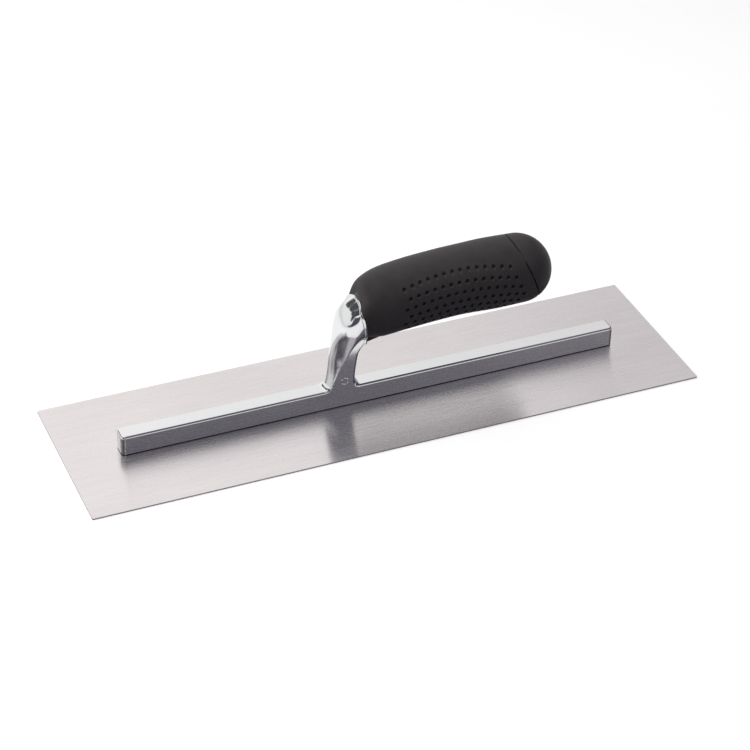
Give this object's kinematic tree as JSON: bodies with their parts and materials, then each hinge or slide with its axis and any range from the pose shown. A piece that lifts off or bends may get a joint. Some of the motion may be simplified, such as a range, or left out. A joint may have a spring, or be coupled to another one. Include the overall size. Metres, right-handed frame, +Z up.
{
  "type": "finishing trowel",
  "caption": "Flat rectangular steel finishing trowel: thin blade riveted under a cast aluminium bar whose slanted post carries a soft, dimpled, round-ended hand grip.",
  "frame": {"origin": "centre of the blade's sole, on the surface that the trowel rests on", "axes": "+X along the blade towards its heel, the end that the grip's free end points at; +Y across the blade; +Z up, out of the blade's top"},
  "size_m": [0.3556, 0.1016, 0.0843],
  "materials": {
    "blade_steel": "fine lengthwise ground grain",
    "rivet_steel": "ground flush with the sole",
    "cast_aluminium": "polished casting",
    "core_plastic": "moulded, satin",
    "grip_rubber": "soft satin elastomer with dimples",
    "cap_rubber": "soft satin elastomer",
    "fastener_steel": "zinc plated"
  },
  "bodies": {
    "root": {"blade": "blade_steel", "blade_rivets": "rivet_steel", "mounting": "cast_aluminium", "handle_core": "core_plastic", "grip_sleeve": "grip_rubber", "end_cap": "cap_rubber", "handle_bolt": "fastener_steel", "plain_washer": "fastener_steel", "lock_washer": "fastener_steel"}
  },
  "joints": []
}
